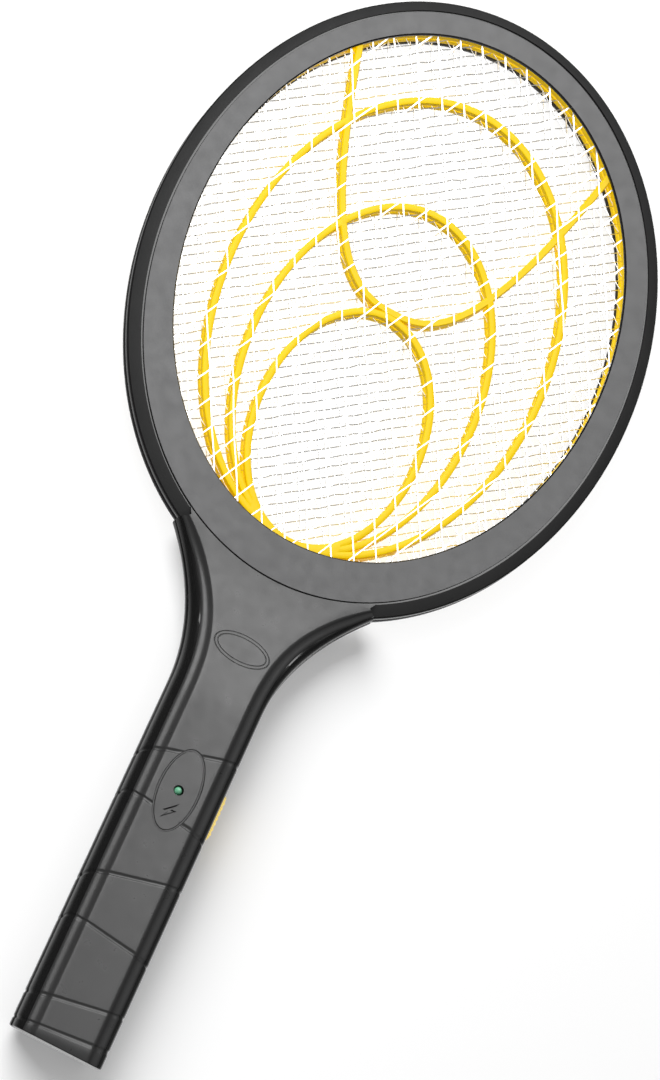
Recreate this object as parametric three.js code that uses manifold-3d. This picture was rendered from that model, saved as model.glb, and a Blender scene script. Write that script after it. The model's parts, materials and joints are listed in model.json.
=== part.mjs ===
// Electric fly swatter: a racket head with three wire grids on a two-shell handle.
// Millimetres, +Z up. The racket lies on its back: +Y runs from the butt end to the head tip,
// +Z is the front face and +X is the side with the push button. The origin is below the middle.
import * as THREE from 'three';
import { mergeVertices } from 'three/addons/utils/BufferGeometryUtils.js';
import Module from 'manifold-3d';

const wasm = await Module();
wasm.setup();

// ---- Driving dimensions ----
const LENGTH = 456;
const MID_Z = 13;                    // parting plane of every two-part casing
const GAP = 0.3;                     // clearance between pieces that touch

// Head: three ellipses, outer wall, bezel edge and opening (half widths in X and Y)
const HEAD = { a: 101.6, b: 129.5 };
const BEZEL = { a: 96.8, b: 124.8 };
const OPENING = { a: 86.2, b: 110.8 };
const HEAD_Y = LENGTH / 2 - HEAD.b;
const OPENING_Y = HEAD_Y + 3.8;      // the opening sits nearer the tip, so the bezel is wide at the handle
const RING_HALF = 6;                 // half the head's thickness
const BAND_DROP = 2.7;               // how far the sloping band falls from the bezel to the wall
const LIP = 1.5;                     // bezel thickness
const LIP_ROOT = 0.7;                // how far the band's inner face starts below its outer edge
const WALL = 2;
const RING_STEPS = 56;

// Stack inside the head, as heights above the parting plane
const CENTRE_GRID_HALF = 0.3;
const SPACER_FROM = 0.45;
const SPACER_TO = 3.4;
const GRID_FROM = 3.6;
const GRID_TO = 4.3;
const SPACER_RIM = 6;                // spacer rim beyond the opening
const SPACER_SHOW = 0.5;             // spacer rim that shows inside the opening
const RIB = 2.7;
const RIB_LOOPS = [[34.5, 51.5], [48, 75], [67.5, 98.5]];
const LOOP_STEPS = 36;
const LOOP_FOOT = -107.5;            // the loops share this lowest point, from the head centre
const ARCH_FOOT = -3.5;              // lowest point of the U rib, from the head centre
const ARCH_RISE = 0.00413;           // U rib: rise = ARCH_RISE * |x| ** 2.5
const ARCH_HALF = 56;

// Grids: stretched diamonds. The outer grids have twice the real pitch, the centre grid five times
const OUTER_CELL = { x: 20, y: 40 };
const CENTRE_CELL = { x: 31, y: 23.5 };
const STRAND = 1.5;
const GRID_RIM = 4;

// Handle: half widths of the casing and of its flat front panel
const BUTT_Y = -LENGTH / 2;
const BUTT_SLANT = 0.16;             // the end face runs this far forward for each mm down from the front
const GRIP_HALF = 18.6;
const PANEL_HALF = 11.4;
const GRIP_DEPTH = 13;               // half thickness
const YOKE_DEPTH = 7.2;              // half thickness where the yoke meets the head
const WAIST_Y = -77;                 // the yoke flares from here
const TIP_Y = -20.6;
const YOKE_FLARE = 23.4;
const PANEL_WAIST_Y = -85;
const PANEL_FLARE = 27.1;
const PANEL_TIP_Y = -19.5;
const LOFT_END_Y = -12;
const CAVITY_END_Y = -36;
const TIP_TRIM = { x: 38.3, y: -18.1, size: 30, turn: -Math.PI / 6 };

// Controls and the things inside the handle
const LED = { y: -119.6, hole: 1.9, radius: 1.5, top: 26.4 };
const BUTTON = { y: -119, length: 18, height: 8, reach: 20.4, inner: 13.3, flange: 16.1 };
const SCREWS = [[0, -156], [0, -70], [-22, -44], [22, -44]];
const SCREW = { head: 2.7, shank: 1.4, seat: 2.2, headHeight: 1.7, tip: 18.5 };
const BOARD = { half: 11.5, from: -146, to: -78, bottom: 8.6, top: 10.2 };
const PART_Z = BOARD.top + GAP;      // components stand on the board
const REST_HALF = 9;                 // half width of the ribs that carry the board
const PARTITION_HALF = 16.2;         // half width of the wall between the board and the cells
const TRANSFORMER_Y = -91;
const CAPACITOR = { half: 7, from: -111, to: -104, height: 10 };
const TRANSISTOR = { x: -6, y: -119 };
const SMALL_PARTS = { y: -127, pitch: 4, diodeX: 1, resistorX: -7 };
const CELL = { radius: 7.2, body: 49, nub: 2.7, nubLength: 1.5, x: 7.4 };
const BAY = { from: -220, to: -164.4 };
const CONTACT = { thick: 0.4, half: 6, height: 12 };
const COVER = { half: 15, to: -160.3, depth: 3.4 };
const WIRE_R = 0.7;
const NOTCH = { half: 6, depth: 2.6 };

// ---- Materials ----
function paint(color, roughness, metalness = 0) {
  return new THREE.MeshStandardMaterial({ color, roughness, metalness });
}

const material = {
  ring: paint(0x3c3c3e, 0.5),
  handle: paint(0x232325, 0.38),
  yellow: paint(0xf6cf00, 0.4),
  wire: paint(0xc9cbcc, 0.3, 1),
  board: paint(0x2f6b3a, 0.6),
  ferrite: paint(0x2a2a2c, 0.7),
  copper: paint(0xb46a35, 0.35, 1),
  capacitor: paint(0x7c2f1d, 0.45),
  black: paint(0x151515, 0.5),
  led: paint(0x39c46a, 0.15),
  cell: paint(0x2c4a7a, 0.3, 0.6),
  steel: paint(0xa9abad, 0.35, 1),
  red: paint(0xb3201d, 0.5),
};

// ---- Geometry helpers ----
function solid(geometry) {
  const bare = geometry.clone();
  bare.deleteAttribute('normal');
  bare.deleteAttribute('uv');
  const merged = mergeVertices(bare, 1e-4);
  return new wasm.Manifold(new wasm.Mesh({
    numProp: 3,
    vertProperties: new Float32Array(merged.attributes.position.array),
    triVerts: new Uint32Array(merged.index.array),
  }));
}

function geometryOf(manifold) {
  const result = manifold.getMesh();
  const geometry = new THREE.BufferGeometry();
  geometry.setAttribute('position', new THREE.BufferAttribute(result.vertProperties, 3));
  geometry.setIndex(new THREE.BufferAttribute(result.triVerts, 1));
  return geometry;
}

const join = (first, ...others) => others.reduce((sum, item) => sum.add(item), first);
const cut = (first, ...others) => others.reduce((rest, item) => rest.subtract(item), first);

function boxGeometry([x0, x1], [y0, y1], [z0, z1]) {
  const geometry = new THREE.BoxGeometry(x1 - x0, y1 - y0, z1 - z0);
  return geometry.translate((x0 + x1) / 2, (y0 + y1) / 2, (z0 + z1) / 2);
}

const box = (x, y, z) => solid(boxGeometry(x, y, z));

// An upright cylinder, from z0 to z1
function post(x, y, radius, z0, z1, sides = 12) {
  const geometry = new THREE.CylinderGeometry(radius, radius, z1 - z0, sides);
  geometry.rotateX(Math.PI / 2).translate(x, y, (z0 + z1) / 2);
  return solid(geometry);
}

// A skin over loops of points. Open lofts get flat end caps, closed ones run round a ring.
function loft(loops, closed = false) {
  const count = loops[0].length;
  const positions = loops.flat(2);
  const index = [];
  const rows = closed ? loops.length : loops.length - 1;
  for (let i = 0; i < rows; i += 1) {
    const next = (i + 1) % loops.length;
    for (let j = 0; j < count; j += 1) {
      const k = (j + 1) % count;
      index.push(i * count + j, i * count + k, next * count + k);
      index.push(i * count + j, next * count + k, next * count + j);
    }
  }
  if (!closed) {
    const last = (loops.length - 1) * count;
    for (let j = 1; j < count - 1; j += 1) {
      index.push(0, j + 1, j);
      index.push(last, last + j, last + j + 1);
    }
  }
  const geometry = new THREE.BufferGeometry();
  geometry.setAttribute('position', new THREE.Float32BufferAttribute(positions, 3));
  geometry.setIndex(index);
  return geometry;
}

// Three.js gives a full circle or ellipse two edges for each curve segment
function extrude(shape, z0, z1, sides = 12) {
  const options = { depth: z1 - z0, bevelEnabled: false, curveSegments: sides / 2 };
  const geometry = new THREE.ExtrudeGeometry(shape, options);
  return geometry.translate(0, 0, z0);
}

function ellipsePath(PathType, a, b, y) {
  const path = new PathType();
  path.absellipse(0, y, a, b, 0, Math.PI * 2, false, 0);
  return path;
}

// An elliptical ring centred on x = 0, from z0 to z1
function annulus(outer, inner, y, z0, z1, steps = RING_STEPS) {
  const shape = ellipsePath(THREE.Shape, outer.a, outer.b, y);
  shape.holes.push(ellipsePath(THREE.Path, inner.a, inner.b, y));
  return solid(extrude(shape, z0, z1, steps));
}

const grown = (ellipse, by) => ({ a: ellipse.a + by, b: ellipse.b + by });

function tube(points, radius, sides = 8, stepsPerSpan = 4) {
  const path = new THREE.CatmullRomCurve3(points.map((p) => new THREE.Vector3(...p)));
  const section = new THREE.Shape();
  section.absarc(0, 0, radius, 0, Math.PI * 2, false);
  const steps = stepsPerSpan * (points.length - 1);
  return new THREE.ExtrudeGeometry(section, { extrudePath: path, steps, curveSegments: sides / 2 });
}

// ---- Head ----
// One half of the hollow ring, for side +1 (front) or -1 (rear)
function frameHalf(side) {
  const loops = [];
  for (let i = 0; i < RING_STEPS; i += 1) {
    const t = side * (i / RING_STEPS) * Math.PI * 2;
    const at = (ellipse, y, height) => [
      ellipse.a * Math.cos(t), y + ellipse.b * Math.sin(t), MID_Z + side * height,
    ];
    const inner = grown(HEAD, -WALL);
    loops.push([
      at(OPENING, OPENING_Y, RING_HALF),
      at(OPENING, OPENING_Y, RING_HALF - LIP),
      at(grown(BEZEL, -1), HEAD_Y, RING_HALF - LIP),
      at(inner, HEAD_Y, RING_HALF - BAND_DROP - LIP_ROOT),
      at(inner, HEAD_Y, GAP / 2),
      at(HEAD, HEAD_Y, GAP / 2),
      at(HEAD, HEAD_Y, RING_HALF - BAND_DROP),
      at(BEZEL, HEAD_Y, RING_HALF),
    ].reverse());
  }
  return cut(solid(loft(loops, true)), wireNotch());
}

// Where the high-voltage wires pass from the yoke into the head
function wireNotch() {
  return box(
    [-NOTCH.half, NOTCH.half],
    [CAVITY_END_Y - 2, HEAD_Y - HEAD.b + 2 * WALL],
    [MID_Z - NOTCH.depth, MID_Z + NOTCH.depth],
  );
}

function archRib(z0, z1) {
  const steps = 20;
  const left = [];
  const right = [];
  for (let i = 0; i <= steps; i += 1) {
    const x = ARCH_HALF * (2 * i / steps - 1);
    const y = HEAD_Y + ARCH_FOOT + ARCH_RISE * Math.abs(x) ** 2.5;
    const slope = Math.sign(x) * 2.5 * ARCH_RISE * Math.abs(x) ** 1.5;
    const normal = new THREE.Vector2(-slope, 1).normalize().multiplyScalar(RIB / 2);
    left.push(new THREE.Vector2(x + normal.x, y + normal.y));
    right.unshift(new THREE.Vector2(x - normal.x, y - normal.y));
  }
  return solid(extrude(new THREE.Shape([...right, ...left]), z0, z1));
}

// Yellow insulator between two grids: a rim, three nested loops and a U rib
function spacer(side) {
  const z0 = MID_Z + (side > 0 ? SPACER_FROM : -SPACER_TO);
  const z1 = MID_Z + (side > 0 ? SPACER_TO : -SPACER_FROM);
  const rim = annulus(grown(OPENING, SPACER_RIM), grown(OPENING, -SPACER_SHOW), OPENING_Y, z0, z1);
  const loops = RIB_LOOPS.map(([a, b]) => {
    const outer = { a, b };
    const y = HEAD_Y + LOOP_FOOT + b;
    return annulus(outer, grown(outer, -RIB), y, z0, z1, LOOP_STEPS);
  });
  return join(rim, ...loops, archRib(z0, z1));
}

// A solid ellipse round the middle of the opening
function disc({ a, b }, z0, z1) {
  return solid(extrude(ellipsePath(THREE.Shape, a, b, OPENING_Y), z0, z1, RING_STEPS));
}

// A flat plate with diamond holes, which the edge of the opening cuts short
function grid(cell, from, to) {
  const rim = grown(OPENING, GRID_RIM);
  const clear = grown(OPENING, -STRAND);
  const slant = Math.hypot(cell.x, cell.y);
  const halfX = cell.x / 2 - (STRAND / 2) * slant / cell.y;
  const halfY = cell.y / 2 - (STRAND / 2) * slant / cell.x;
  const inside = (x, y) => Math.hypot(x / clear.a, (y - OPENING_Y) / clear.b) < 1;
  const reach = Math.ceil(2 * clear.b / Math.min(cell.x, cell.y)) + 2;
  const diamonds = [];
  for (let i = -reach; i <= reach; i += 1) {
    for (let j = -reach; j <= reach; j += 1) {
      const x = (i + j) * cell.x / 2;
      const y = HEAD_Y + (i - j) * cell.y / 2;
      const corners = [[x + halfX, y], [x, y + halfY], [x - halfX, y], [x, y - halfY]];
      if (inside(x, y) || corners.some(([cx, cy]) => inside(cx, cy))) {
        diamonds.push(new THREE.Shape(corners.map(([cx, cy]) => new THREE.Vector2(cx, cy))));
      }
    }
  }
  const z0 = MID_Z + from;
  const z1 = MID_Z + to;
  const plate = disc(rim, z0, z1);
  const holes = solid(extrude(diamonds, z0 - 0.5, z1 + 0.5)).intersect(disc(clear, z0 - 1, z1 + 1));
  return geometryOf(cut(plate, holes));
}

// ---- Handle ----
const ramp = (y, from, to) => THREE.MathUtils.clamp((y - from) / (to - from), 0, 2);

function handleSection(y) {
  const flare = YOKE_FLARE * ramp(y, WAIST_Y, TIP_Y) ** 2;
  const panelFlare = PANEL_FLARE * ramp(y, PANEL_WAIST_Y, PANEL_TIP_Y) ** 2.5;
  const fall = THREE.MathUtils.smoothstep(y, PANEL_WAIST_Y, HEAD_Y - HEAD.b + 4);
  const half = GRIP_HALF + flare;
  const panel = Math.min(PANEL_HALF + panelFlare, half - 2.5);
  return { half, panel, depth: GRIP_DEPTH - (GRIP_DEPTH - YOKE_DEPTH) * fall };
}

// Half of the handle's outline at y, offset inward by `inset`, as a closed loop of points
function handleLoop(y, side, inset, foot) {
  const { half, panel, depth } = handleSection(y);
  const shoulder = panel + (half - panel) * 0.5;
  const profile = [
    [half, 0],
    [half - 0.02 * (half - panel), depth * 0.35],
    [half - 0.16 * (half - panel), depth * 0.68],
    [shoulder, depth - 1.2],
    [panel, depth],
  ];
  const moved = profile.map(([x, height], i) => {
    const inX = i < 3 ? inset : inset * 0.6;
    const inZ = i === 0 ? 0 : inset * Math.min(1, i / 3);
    return [x - inX, height - inZ];
  });
  moved[0][1] = foot;
  const right = moved.map(([x, height]) => [x, y, MID_Z + side * height]);
  const left = moved.map(([x, height]) => [-x, y, MID_Z + side * height]).reverse();
  const loop = [...right, ...left];
  return side > 0 ? loop : loop.reverse();
}

const STATIONS = [-150, -100, -85, -77, -69, -61, -54, -47, -41, -36, -31, -26, -22, -18, LOFT_END_Y];
const CAVITY_STATIONS = [-150, -85, -77, -69, -61, -54, -47, -41, CAVITY_END_Y];

function handleLoft(start, stations, side, inset, foot) {
  const loops = [start, ...stations].map((y) => handleLoop(y, side, inset, foot));
  const front = MID_Z + GRIP_DEPTH;
  loops[0] = loops[0].map(([x, y, z]) => [x, y + BUTT_SLANT * (front - z), z]);
  return solid(loft(loops.reverse()));
}

// The head's outside with a little clearance, to fit the yoke round it
function headEnvelope() {
  const far = 30;
  const layers = [
    [BEZEL, -far], [BEZEL, -RING_HALF], [HEAD, BAND_DROP - RING_HALF],
    [HEAD, RING_HALF - BAND_DROP], [BEZEL, RING_HALF], [BEZEL, far],
  ];
  const loops = layers.map(([ellipse, height]) => {
    const { a, b } = grown(ellipse, GAP);
    return Array.from({ length: RING_STEPS }, (_, i) => {
      const t = (i / RING_STEPS) * Math.PI * 2;
      return [a * Math.cos(t), HEAD_Y + b * Math.sin(t), MID_Z + height];
    });
  });
  return solid(loft(loops));
}

// Trims the yoke's tips square to the head's outline
function tipTrim(side) {
  const { x, y, size, turn } = TIP_TRIM;
  const geometry = new THREE.BoxGeometry(size, size, 2 * size);
  geometry.translate(size / 2, size / 2, 0).rotateZ(turn).translate(x, y, MID_Z);
  if (side < 0) geometry.rotateY(Math.PI).translate(0, 0, 2 * MID_Z);
  return solid(geometry);
}

function buttonSlot() {
  const half = BUTTON.length / 2 + GAP;
  return box(
    [GRIP_HALF - 3.5, GRIP_HALF + 3],
    [BUTTON.y - half, BUTTON.y + half],
    [MID_Z - BUTTON.height / 2 - GAP, MID_Z + BUTTON.height / 2 + GAP],
  );
}

function handleShell(side) {
  const outer = handleLoft(BUTT_Y, STATIONS, side, 0, GAP / 2);
  const cavity = handleLoft(BUTT_Y + WALL, CAVITY_STATIONS, side, WALL, -2);
  return cut(outer, cavity, headEnvelope(), tipTrim(1), tipTrim(-1), wireNotch(), buttonSlot());
}

// Height of a screw head's outer face, sunk into the rear shell
const screwSeat = (y) => MID_Z - handleSection(y).depth + SCREW.seat;

function frontShell() {
  const bosses = SCREWS.map(([x, y]) => {
    const top = MID_Z + handleSection(y).depth - 1;
    return cut(post(x, y, 3.4, MID_Z + GAP, top), post(x, y, SCREW.shank + GAP, MID_Z, SCREW.tip + GAP));
  });
  const hole = post(0, LED.y, LED.hole, LED.top - 5, LED.top + 5, 16);
  return cut(join(handleShell(1), ...bosses), hole);
}

function rearShell() {
  const bosses = SCREWS.map(([x, y]) => post(x, y, 3.8, MID_Z - handleSection(y).depth + 1, MID_Z - GAP));
  const drill = SCREWS.map(([x, y]) => {
    const seat = screwSeat(y) + SCREW.headHeight + GAP;
    return join(post(x, y, SCREW.shank + GAP, 0, MID_Z), post(x, y, SCREW.head + GAP, -1, seat));
  });
  const rests = [BOARD.from + 5, BOARD.to - 5].map((y) => {
    return box([-REST_HALF, REST_HALF], [y - 1, y + 1], [WALL - 0.5, BOARD.bottom - GAP]);
  });
  const y = BAY.to + GAP;
  const partition = box([-PARTITION_HALF, PARTITION_HALF], [y, y + 1.8], [COVER.depth, MID_Z - 1]);
  return cut(join(handleShell(-1), ...bosses, ...rests, partition), ...drill);
}

// The rear shell gives up a strip at the butt end, which slides off as the battery cover
function coverZone(gap) {
  return box([-COVER.half + gap, COVER.half - gap], [BUTT_Y - 5, COVER.to - gap], [-1, COVER.depth - gap]);
}

// ---- Small pieces ----
function screwGeometry(y) {
  const top = SCREW.tip - screwSeat(y);
  return new THREE.LatheGeometry([
    new THREE.Vector2(0, 0),
    new THREE.Vector2(SCREW.head, 0),
    new THREE.Vector2(SCREW.head, SCREW.headHeight * 0.6),
    new THREE.Vector2(SCREW.shank, SCREW.headHeight),
    new THREE.Vector2(SCREW.shank, top - 2),
    new THREE.Vector2(0, top),
  ], 12).rotateX(Math.PI / 2);
}

function pushButton() {
  const half = BUTTON.length / 2;
  const low = MID_Z - BUTTON.height / 2;
  const slim = [low + 1, low + BUTTON.height - 1];
  const cap = box([BUTTON.inner + 1, BUTTON.reach - 0.6], [-half, half], [low, low + BUTTON.height]);
  const crown = box([BUTTON.reach - 1, BUTTON.reach], [-half + 1, half - 1], slim);
  const flange = box([BUTTON.inner, BUTTON.flange], [-half - 2, half + 2], slim);
  return geometryOf(join(cap, crown, flange).translate([0, BUTTON.y, 0]));
}

// The switch stands on the board and its plunger points at the button
const SWITCH = { back: 5.5, front: 10.8, half: 3.2, bore: 1.6, plunger: 1.3, rear: 9, tip: 13 };

function switchBody() {
  const body = box([SWITCH.back, SWITCH.front], [-SWITCH.half, SWITCH.half], [PART_Z, PART_Z + 6]);
  const bore = new THREE.CylinderGeometry(SWITCH.bore, SWITCH.bore, 5, 12);
  bore.rotateZ(Math.PI / 2).translate(SWITCH.front - 1.5, 0, MID_Z);
  return geometryOf(cut(body, solid(bore)).translate([0, BUTTON.y, 0]));
}

function switchPlunger() {
  const length = SWITCH.tip - SWITCH.rear;
  const geometry = new THREE.CylinderGeometry(SWITCH.plunger, SWITCH.plunger, length, 12);
  return geometry.rotateZ(Math.PI / 2).translate(SWITCH.rear + length / 2, BUTTON.y, MID_Z);
}

function indicatorLed() {
  const rim = LED.radius + 0.3;
  const lens = new THREE.LatheGeometry([
    new THREE.Vector2(0, 0),
    new THREE.Vector2(rim, 0),
    new THREE.Vector2(rim, 1),
    new THREE.Vector2(LED.radius, 1.2),
    new THREE.Vector2(LED.radius, 4.2),
    new THREE.Vector2(LED.radius * 0.7, 5.6),
    new THREE.Vector2(0, 6),
  ], 16).rotateX(Math.PI / 2).translate(0, 0, LED.top - 6);
  const legs = [-1.3, 1.3].map((x) => box([x - 0.3, x + 0.3], [-0.3, 0.3], [PART_Z, LED.top - 5.5]));
  return geometryOf(join(solid(lens), ...legs).translate([0, LED.y, 0]));
}

// A cell lies along Y. `way` is +1 with its plus end towards the head.
function cellGeometry(way) {
  const geometry = new THREE.LatheGeometry([
    new THREE.Vector2(0, 0),
    new THREE.Vector2(CELL.radius - 0.6, 0),
    new THREE.Vector2(CELL.radius, 0.6),
    new THREE.Vector2(CELL.radius, CELL.body - 0.6),
    new THREE.Vector2(CELL.radius - 0.6, CELL.body),
    new THREE.Vector2(CELL.nub, CELL.body),
    new THREE.Vector2(CELL.nub, CELL.body + CELL.nubLength),
    new THREE.Vector2(0, CELL.body + CELL.nubLength),
  ], 20);
  return way > 0 ? geometry : geometry.rotateZ(Math.PI);
}

function springGeometry(length) {
  const turns = 3.5;
  const points = [];
  const count = turns * 8;
  for (let i = 0; i <= count; i += 1) {
    const t = (i / 8) * Math.PI * 2;
    const radius = 4.4 - 1.4 * (i / count);
    points.push([radius * Math.cos(t), 0.5 + (length - 1) * (i / count), radius * Math.sin(t)]);
  }
  return tube(points, 0.4, 6, 1);
}

// Ferrite core with two windows, and the winding on its middle leg
const CORE = { x: 9, y: 8, leg: 2.2, thick: 6 };

function coreGeometry() {
  const block = box([-CORE.x, CORE.x], [-CORE.y, CORE.y], [0, CORE.thick]);
  const inner = [CORE.leg, CORE.x - CORE.leg];
  const window = box(inner, [CORE.leg - CORE.y, CORE.y - CORE.leg], [-1, CORE.thick + 1]);
  return geometryOf(cut(block, window, window.mirror([1, 0, 0])));
}

function coilGeometry() {
  const rim = CORE.x - CORE.leg - GAP;
  const bore = CORE.leg + GAP;
  const end = CORE.y - CORE.leg - GAP;
  const rise = CORE.thick / 2 + 2.4;
  const outer = box([-rim, rim], [-end, end], [CORE.thick / 2 - rise, CORE.thick / 2 + rise]);
  const inner = box([-bore, bore], [-end - 1, end + 1], [-GAP, CORE.thick + GAP]);
  return geometryOf(cut(outer, inner));
}

function transistorGeometry() {
  const shape = new THREE.Shape();
  shape.absarc(0, 0, 2.3, -Math.PI * 0.25, Math.PI * 1.25, false);
  shape.closePath();
  return extrude(shape, 0, 4.6, 16);
}

// A small cylinder lying along X
function barrel(radius, length) {
  return new THREE.CylinderGeometry(radius, radius, length, 10).rotateZ(Math.PI / 2);
}

// ---- Assembly ----
const group = new THREE.Group();

function add(name, geometry, look, x = 0, y = 0, z = 0) {
  const item = new THREE.Mesh(geometry, look);
  item.name = name;
  item.position.set(x, y, z);
  group.add(item);
}

function addHead() {
  add('front_frame', geometryOf(frameHalf(1)), material.ring);
  add('rear_frame', geometryOf(frameHalf(-1)), material.ring);
  add('front_spacer', geometryOf(spacer(1)), material.yellow);
  add('rear_spacer', geometryOf(spacer(-1)), material.yellow);
  add('front_grid', grid(OUTER_CELL, GRID_FROM, GRID_TO), material.wire);
  add('rear_grid', grid(OUTER_CELL, -GRID_TO, -GRID_FROM), material.wire);
  add('centre_grid', grid(CENTRE_CELL, -CENTRE_GRID_HALF, CENTRE_GRID_HALF), material.wire);
}

// Tinned tabs between the grids' rims and the high-voltage wires
const TAB = { near: OPENING_Y - OPENING.b - GRID_RIM - GAP, length: 5, half: 1.2 };

function addTabs() {
  const middle = (GRID_FROM + GRID_TO) / 2;
  const places = [
    ['front_grid_tab', -5, middle],
    ['centre_grid_tab', 5, 0],
    ['rear_grid_tab', -5, -middle],
  ];
  for (const [name, x, height] of places) {
    const y = [TAB.near - TAB.length, TAB.near];
    const z = [MID_Z + height - 0.25, MID_Z + height + 0.25];
    add(name, boxGeometry([x - TAB.half, x + TAB.half], y, z), material.copper);
  }
}

function addCasing() {
  const rear = rearShell();
  add('front_handle_shell', geometryOf(frontShell()), material.handle);
  add('rear_handle_shell', geometryOf(cut(rear, coverZone(0))), material.handle);
  add('battery_cover', geometryOf(rear.intersect(coverZone(GAP))), material.handle);
  SCREWS.forEach(([x, y], i) => {
    add(`casing_screw_${i + 1}`, screwGeometry(y), material.steel, x, y, screwSeat(y));
  });
}

function addControls() {
  add('power_button', pushButton(), material.yellow);
  add('switch_body', switchBody(), material.black);
  add('switch_plunger', switchPlunger(), material.steel);
  add('indicator_led', indicatorLed(), material.led);
}

function addBoard() {
  const { half, from, to, bottom, top } = BOARD;
  add('circuit_board', boxGeometry([-half, half], [from, to], [bottom, top]), material.board);
  const coilLift = PART_Z + 2.4;
  add('transformer_core', coreGeometry(), material.ferrite, 0, TRANSFORMER_Y, coilLift);
  add('transformer_coil', coilGeometry(), material.copper, 0, TRANSFORMER_Y, coilLift);
  const block = CAPACITOR;
  const blockGeometry = boxGeometry(
    [-block.half, block.half], [block.from, block.to], [PART_Z, PART_Z + block.height],
  );
  add('storage_capacitor', blockGeometry, material.capacitor);
  add('transistor', transistorGeometry(), material.black, TRANSISTOR.x, TRANSISTOR.y, PART_Z);
  const { y, pitch, diodeX, resistorX } = SMALL_PARTS;
  for (let i = 0; i < 3; i += 1) {
    const name = `rectifier_diode_${i + 1}`;
    add(name, barrel(1.35, 5.2), material.black, diodeX, y - pitch * i, PART_Z + 1.4);
  }
  for (let i = 0; i < 2; i += 1) {
    const name = `resistor_${i + 1}`;
    add(name, barrel(1.15, 6.2), material.capacitor, resistorX, y - pitch * i, PART_Z + 1.2);
  }
}

function addPower() {
  const minusY = BAY.to - CONTACT.thick - GAP - CELL.nubLength - CELL.body;
  const otherY = BAY.from + CONTACT.thick + GAP + CELL.nubLength + CELL.body;
  add('battery_1', cellGeometry(1), material.cell, -CELL.x, minusY, MID_Z);
  add('battery_2', cellGeometry(-1), material.cell, CELL.x, otherY, MID_Z);
  const z = [MID_Z - CONTACT.height / 2, MID_Z + CONTACT.height / 2];
  const head = [BAY.to - CONTACT.thick, BAY.to];
  const butt = [BAY.from, BAY.from + CONTACT.thick];
  const { x } = CELL;
  add('plus_contact', boxGeometry([-x - CONTACT.half, -x + CONTACT.half], head, z), material.steel);
  add('minus_contact', boxGeometry([x - CONTACT.half, x + CONTACT.half], head, z), material.steel);
  add('bridge_contact', boxGeometry([-x - CONTACT.half, x + CONTACT.half], butt, z), material.steel);
  const headGap = head[0] - otherY - 2 * GAP;
  const buttGap = minusY - butt[1] - 2 * GAP;
  add('minus_spring', springGeometry(headGap), material.steel, x, otherY + GAP, MID_Z);
  add('bridge_spring', springGeometry(buttGap), material.steel, -x, butt[1] + GAP, MID_Z);
}

function addWires() {
  const start = BAY.to + WIRE_R + GAP;
  const rise = MID_Z + 3;
  const boardEnd = BOARD.from - GAP;
  const lead = (x) => [
    [x, start, rise], [x, start + 6, rise], [x * 0.9, boardEnd - 6, MID_Z], [x * 0.8, boardEnd, MID_Z - 2],
  ];
  add('plus_battery_wire', tube(lead(-CELL.x), WIRE_R), material.red);
  add('minus_battery_wire', tube(lead(CELL.x), WIRE_R), material.black);
  const tabEnd = TAB.near - TAB.length - GAP;
  const feed = (x, height) => [
    [x, BOARD.to + GAP, MID_Z - 1], [1.4 * x, -70, MID_Z], [1.2 * x, -58, MID_Z],
    [0.7 * x, CAVITY_END_Y - 2, MID_Z], [0.7 * x, HEAD_Y - HEAD.b + 4, MID_Z],
    [x, tabEnd - 3, MID_Z + height * 0.8], [x, tabEnd, MID_Z + height],
  ];
  add('outer_grid_wire', tube(feed(-5, 3), WIRE_R, 8, 3), material.black);
  add('centre_grid_wire', tube(feed(5, 0), WIRE_R, 8, 3), material.red);
}

addHead();
addTabs();
addCasing();
addControls();
addBoard();
addPower();
addWires();

export default group;
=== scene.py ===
# The looks of an electric fly swatter, built round its CAD frame. Shapes are worked out in
# millimetres on the frame's own axes: +Y runs from the butt end to the head's tip and +Z out of
# the front. MM turns them into metres.
import json
import math

import bmesh
import bpy
import numpy as np
from mathutils import Matrix, Vector


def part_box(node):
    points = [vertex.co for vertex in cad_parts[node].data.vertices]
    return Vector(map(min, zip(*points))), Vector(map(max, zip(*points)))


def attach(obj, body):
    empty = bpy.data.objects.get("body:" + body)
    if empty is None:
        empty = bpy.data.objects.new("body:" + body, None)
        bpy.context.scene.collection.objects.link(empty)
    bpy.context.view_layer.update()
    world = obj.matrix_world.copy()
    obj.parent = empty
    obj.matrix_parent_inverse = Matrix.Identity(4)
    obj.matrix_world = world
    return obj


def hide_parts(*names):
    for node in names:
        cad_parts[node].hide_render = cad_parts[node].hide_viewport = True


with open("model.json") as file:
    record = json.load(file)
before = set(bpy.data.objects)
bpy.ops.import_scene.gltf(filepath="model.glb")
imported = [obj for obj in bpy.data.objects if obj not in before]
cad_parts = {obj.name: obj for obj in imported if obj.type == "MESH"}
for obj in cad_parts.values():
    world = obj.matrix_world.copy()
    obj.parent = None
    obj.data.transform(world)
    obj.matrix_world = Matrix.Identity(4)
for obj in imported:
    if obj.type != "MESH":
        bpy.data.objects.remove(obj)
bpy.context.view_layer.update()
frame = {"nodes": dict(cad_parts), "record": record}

MM = 0.001


# ---- Sizes taken from the frame ----
def box_mm(node):
    """Lowest and highest corner of a CAD node, in millimetres."""
    low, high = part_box(node)
    return np.array(low) / MM, np.array(high) / MM


frame_low, frame_high = box_mm("front_frame")
spacer_low, spacer_high = box_mm("front_spacer")
rear_low, _ = box_mm("rear_frame")
shell_low, _ = box_mm("front_handle_shell")
cover_low, cover_high = box_mm("battery_cover")

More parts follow.
